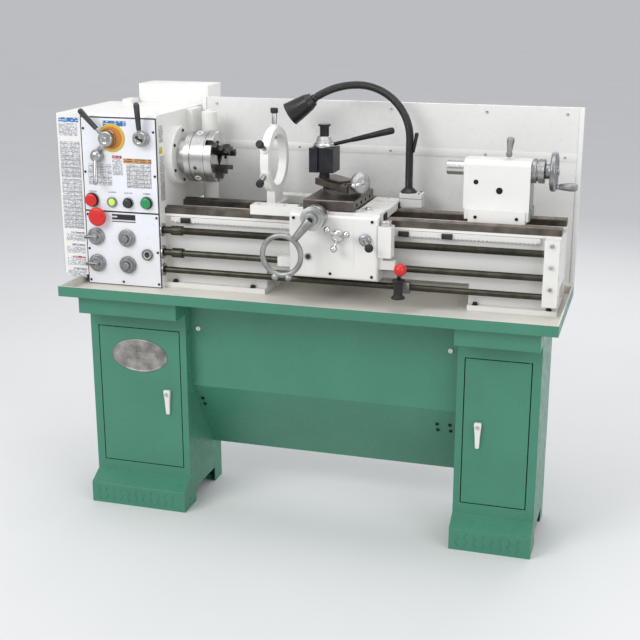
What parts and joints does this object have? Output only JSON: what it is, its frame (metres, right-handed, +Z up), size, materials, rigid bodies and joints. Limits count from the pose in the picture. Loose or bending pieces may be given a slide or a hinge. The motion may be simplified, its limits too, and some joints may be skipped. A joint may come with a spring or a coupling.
{
  "type": "metal lathe",
  "caption": "Engine lathe on a two-cabinet stand with chip pan, splash guard, headstock, carriage, compound slide, tailstock, steady rest and gooseneck lamp.",
  "frame": {"origin": "bottom centre of the whole machine's box, on the floor", "axes": "+X along the bed towards the tailstock, +Y to the back, +Z up"},
  "size_m": [1.598, 0.64, 1.3545],
  "materials": {
    "stand_paint": "green powder coat",
    "machine_paint": "off-white machine enamel",
    "cast_paint": "off-white enamel on cast iron",
    "ground_steel": "ground and oiled steel",
    "bright_steel": "turned bright steel",
    "dark_steel": "oiled dark steel",
    "brown_steel": "bare ground cast iron, browned by oil",
    "satin_chrome": "satin chrome plate",
    "black_oxide": "blackened steel",
    "black_plastic": "black moulded plastic",
    "red_plastic": "red moulded plastic",
    "green_plastic": "green moulded plastic",
    "white_latch": "white die-cast latch",
    "motor_paint": "dark grey enamel"
  },
  "bodies": {
    "root": {"left_cabinet": "stand_paint", "right_cabinet": "stand_paint", "chute_panel": "stand_paint", "chip_pan": "stand_paint", "splash_guard": "machine_paint", "bed": "cast_paint", "end_bracket": "cast_paint", "head_casing": "cast_paint", "front_panels": "machine_paint", "electrical_box": "machine_paint", "motor": "motor_paint", "spindle_bearings": "bright_steel", "steady_rest": "cast_paint"},
    "spindle": {"spindle": "bright_steel", "chuck_body": "bright_steel"},
    "carriage": {"saddle": "cast_paint", "apron": "cast_paint"},
    "compound_slide": {"compound_slide": "brown_steel", "tool_post": "black_oxide"},
    "left_door": {"left_door": "stand_paint"},
    "right_door": {"right_door": "stand_paint"},
    "left_latch": {"left_latch": "white_latch"},
    "right_latch": {"right_latch": "white_latch"},
    "gear_cover": {"gear_cover": "machine_paint"},
    "motor_pulley": {"motor_pulley": "bright_steel"},
    "chuck_jaw_1": {"chuck_jaw_1": "dark_steel"},
    "chuck_jaw_2": {"chuck_jaw_2": "dark_steel"},
    "chuck_jaw_3": {"chuck_jaw_3": "dark_steel"},
    "speed_lever_left": {"speed_lever_left": "satin_chrome"},
    "speed_lever_lower": {"speed_lever_lower": "satin_chrome"},
    "speed_lever_right": {"speed_lever_right": "satin_chrome"},
    "feed_knob_1": {"feed_knob_1": "satin_chrome"},
    "feed_knob_2": {"feed_knob_2": "satin_chrome"},
    "feed_knob_3": {"feed_knob_3": "satin_chrome"},
    "feed_knob_4": {"feed_knob_4": "satin_chrome"},
    "e_stop": {"e_stop": "red_plastic"},
    "stop_button": {"stop_button": "red_plastic"},
    "start_button": {"start_button": "green_plastic"},
    "jog_button": {"jog_button": "black_plastic"},
    "leadscrew": {"leadscrew": "dark_steel"},
    "feed_rod": {"feed_rod": "dark_steel"},
    "control_rod": {"control_rod": "dark_steel"},
    "carriage_crank": {"carriage_crank": "satin_chrome"},
    "half_nut_lever": {"half_nut_lever": "satin_chrome"},
    "thread_dial": {"thread_dial": "satin_chrome"},
    "control_lever": {"control_lever": "black_plastic"},
    "cross_slide": {"cross_slide": "brown_steel"},
    "cross_crank": {"cross_crank": "satin_chrome"},
    "compound_base": {"compound_base": "brown_steel"},
    "compound_crank": {"compound_crank": "satin_chrome"},
    "tool_post_lever": {"tool_post_lever": "black_oxide"},
    "lamp_stalk": {"lamp_stalk": "black_plastic"},
    "lamp_head": {"lamp_head": "black_plastic"},
    "tailstock": {"tailstock": "cast_paint"},
    "quill": {"quill": "bright_steel"},
    "tail_handwheel": {"tail_handwheel": "satin_chrome"},
    "quill_lever": {"quill_lever": "satin_chrome"},
    "steady_finger_1": {"steady_finger_1": "black_plastic"},
    "steady_finger_2": {"steady_finger_2": "black_plastic"},
    "steady_finger_3": {"steady_finger_3": "black_plastic"}
  },
  "joints": [
    {"name": "left_door_swing", "type": "hinge", "parent": "root", "child": "left_door", "pos_m": [-0.653, -0.2114, 0.36], "axis": [0, 0, 1], "range_deg": [-110, 0]},
    {"name": "right_door_swing", "type": "hinge", "parent": "root", "child": "right_door", "pos_m": [0.709, -0.2114, 0.36], "axis": [0, 0, 1], "range_deg": [0, 110]},
    {"name": "left_latch_turn", "type": "hinge", "parent": "left_door", "child": "left_latch", "pos_m": [-0.428, -0.2164, 0.355], "axis": [0, 1, 0], "range_deg": [0, 90]},
    {"name": "right_latch_turn", "type": "hinge", "parent": "right_door", "child": "right_latch", "pos_m": [0.566, -0.2164, 0.355], "axis": [0, 1, 0], "range_deg": [-90, 0]},
    {"name": "gear_cover_swing", "type": "hinge", "parent": "root", "child": "gear_cover", "pos_m": [-0.7173, 0.2086, 1], "axis": [0, 0, 1], "range_deg": [-90, 0]},
    {"name": "spindle_spin", "type": "hinge", "parent": "root", "child": "spindle", "pos_m": [-0.5, -0.0314, 1.119], "axis": [1, 0, 0], "continuous": true},
    {"name": "motor_spin", "type": "hinge", "parent": "root", "child": "motor_pulley", "pos_m": [-0.7, 0.13, 0.8405], "axis": [1, 0, 0], "continuous": true},
    {"name": "jaw_1_slide", "type": "slide", "parent": "spindle", "child": "chuck_jaw_1", "axis": [0, -0.766, 0.6428], "range_m": [-0.01, 0.02]},
    {"name": "jaw_2_slide", "type": "slide", "parent": "spindle", "child": "chuck_jaw_2", "axis": [0, -0.1736, -0.9848], "range_m": [-0.01, 0.02]},
    {"name": "jaw_3_slide", "type": "slide", "parent": "spindle", "child": "chuck_jaw_3", "axis": [0, 0.9397, 0.342], "range_m": [-0.01, 0.02]},
    {"name": "speed_lever_left_turn", "type": "hinge", "parent": "root", "child": "speed_lever_left", "pos_m": [-0.618, -0.1674, 1.182], "axis": [0, 1, 0], "range_deg": [-25, 40]},
    {"name": "speed_lever_lower_turn", "type": "hinge", "parent": "root", "child": "speed_lever_lower", "pos_m": [-0.656, -0.1674, 1.127], "axis": [0, 1, 0], "range_deg": [-25, 25]},
    {"name": "speed_lever_right_turn", "type": "hinge", "parent": "root", "child": "speed_lever_right", "pos_m": [-0.503, -0.1674, 1.186], "axis": [0, 1, 0], "range_deg": [-35, 35]},
    {"name": "feed_knob_1_turn", "type": "hinge", "parent": "root", "child": "feed_knob_1", "pos_m": [-0.675, -0.1674, 0.871], "axis": [0, 1, 0], "range_deg": [-90, 90]},
    {"name": "feed_knob_2_turn", "type": "hinge", "parent": "root", "child": "feed_knob_2", "pos_m": [-0.569, -0.1674, 0.871], "axis": [0, 1, 0], "range_deg": [-90, 90]},
    {"name": "feed_knob_3_turn", "type": "hinge", "parent": "root", "child": "feed_knob_3", "pos_m": [-0.675, -0.1674, 0.785], "axis": [0, 1, 0], "range_deg": [-90, 90]},
    {"name": "feed_knob_4_turn", "type": "hinge", "parent": "root", "child": "feed_knob_4", "pos_m": [-0.569, -0.1674, 0.785], "axis": [0, 1, 0], "range_deg": [-90, 90]},
    {"name": "stop_button_press", "type": "slide", "parent": "root", "child": "stop_button", "axis": [0, 1, 0], "range_m": [0, 0.004], "stiffness_N_per_m": 400},
    {"name": "start_button_press", "type": "slide", "parent": "root", "child": "start_button", "axis": [0, 1, 0], "range_m": [0, 0.004], "stiffness_N_per_m": 400},
    {"name": "jog_button_press", "type": "slide", "parent": "root", "child": "jog_button", "axis": [0, 1, 0], "range_m": [0, 0.004], "stiffness_N_per_m": 400},
    {"name": "e_stop_press", "type": "slide", "parent": "root", "child": "e_stop", "axis": [0, 1, 0], "range_m": [0, 0.004], "stiffness_N_per_m": 400},
    {"name": "leadscrew_turn", "type": "hinge", "parent": "root", "child": "leadscrew", "pos_m": [0, -0.1494, 0.901], "axis": [1, 0, 0], "continuous": true},
    {"name": "feed_rod_turn", "type": "hinge", "parent": "root", "child": "feed_rod", "pos_m": [0, -0.1494, 0.83], "axis": [1, 0, 0], "continuous": true},
    {"name": "control_rod_turn", "type": "hinge", "parent": "root", "child": "control_rod", "pos_m": [0, -0.1494, 0.774], "axis": [1, 0, 0], "range_deg": [-12, 12]},
    {"name": "carriage_travel", "type": "slide", "parent": "root", "child": "carriage", "axis": [1, 0, 0], "range_m": [-0.06, 0.1]},
    {"name": "carriage_crank_turn", "type": "hinge", "parent": "carriage", "child": "carriage_crank", "pos_m": [0.131, -0.2014, 0.9286], "axis": [0, 1, 0], "continuous": true},
    {"name": "half_nut_turn", "type": "hinge", "parent": "carriage", "child": "half_nut_lever", "pos_m": [0.212, -0.2014, 0.921], "axis": [0, 1, 0], "range_deg": [-5, 35]},
    {"name": "thread_dial_turn", "type": "hinge", "parent": "carriage", "child": "thread_dial", "pos_m": [0.27, -0.1834, 0.9666], "axis": [0, 0, 1], "continuous": true},
    {"name": "control_lever_swing", "type": "hinge", "parent": "carriage", "child": "control_lever", "pos_m": [0.318, -0.1494, 0.774], "axis": [1, 0, 0], "range_deg": [-12, 12]},
    {"name": "cross_crank_turn", "type": "hinge", "parent": "carriage", "child": "cross_crank", "pos_m": [0.065, -0.2014, 0.985], "axis": [0, 1, 0], "continuous": true},
    {"name": "cross_travel", "type": "slide", "parent": "carriage", "child": "cross_slide", "axis": [0, 1, 0], "range_m": [-0.018, 0.05]},
    {"name": "compound_swivel", "type": "hinge", "parent": "cross_slide", "child": "compound_base", "pos_m": [0.095, -0.0394, 1.036], "axis": [0, 0, 1], "range_deg": [-10, 10]},
    {"name": "compound_travel", "type": "slide", "parent": "compound_base", "child": "compound_slide", "axis": [0.7071, -0.7071, 0], "range_m": [-0.02, 0.015]},
    {"name": "compound_crank_turn", "type": "hinge", "parent": "compound_slide", "child": "compound_crank", "pos_m": [0.095, -0.0394, 1.0745], "axis": [0.7071, -0.7071, 0], "continuous": true},
    {"name": "tool_post_lever_turn", "type": "hinge", "parent": "compound_slide", "child": "tool_post_lever", "pos_m": [0.037, -0.0314, 1.17], "axis": [0, 0, 1], "range_deg": [-30, 15]},
    {"name": "lamp_swivel", "type": "hinge", "parent": "carriage", "child": "lamp_stalk", "pos_m": [0.275, 0.0896, 1.02], "axis": [0, 0, 1], "range_deg": [-8, 60]},
    {"name": "lamp_tilt", "type": "hinge", "parent": "lamp_stalk", "child": "lamp_head", "pos_m": [-0.02103, 0.05223, 1.29864], "axis": [0.1252, -0.9921, 0], "range_deg": [-15, 15]},
    {"name": "tailstock_travel", "type": "slide", "parent": "root", "child": "tailstock", "axis": [1, 0, 0], "range_m": [-0.09, 0]},
    {"name": "quill_travel", "type": "slide", "parent": "tailstock", "child": "quill", "axis": [1, 0, 0], "range_m": [-0.06, 0]},
    {"name": "tail_wheel_turn", "type": "hinge", "parent": "tailstock", "child": "tail_handwheel", "pos_m": [0.7, -0.0314, 1.119], "axis": [1, 0, 0], "continuous": true},
    {"name": "quill_lever_turn", "type": "hinge", "parent": "tailstock", "child": "quill_lever", "pos_m": [0.597, -0.0314, 1.1603], "axis": [0, 1, 0], "range_deg": [-25, 25]},
    {"name": "steady_finger_1_travel", "type": "slide", "parent": "root", "child": "steady_finger_1", "axis": [0, 0, -1], "range_m": [0, 0.03]},
    {"name": "steady_finger_2_travel", "type": "slide", "parent": "root", "child": "steady_finger_2", "axis": [0, 0.9063, -0.4226], "range_m": [0, 0.03]},
    {"name": "steady_finger_3_travel", "type": "slide", "parent": "root", "child": "steady_finger_3", "axis": [0, 0.9336, 0.3584], "range_m": [0, 0.03]}
  ],
  "couplings": [
    {"joint": "jaw_2_slide", "follows": "jaw_1_slide", "ratio": 1},
    {"joint": "jaw_3_slide", "follows": "jaw_1_slide", "ratio": 1},
    {"joint": "motor_spin", "follows": "spindle_spin", "ratio": 1.5},
    {"joint": "leadscrew_turn", "follows": "spindle_spin", "ratio": 0.25},
    {"joint": "feed_rod_turn", "follows": "spindle_spin", "ratio": 0.25},
    {"joint": "control_rod_turn", "follows": "control_lever_swing", "ratio": 1}
  ]
}
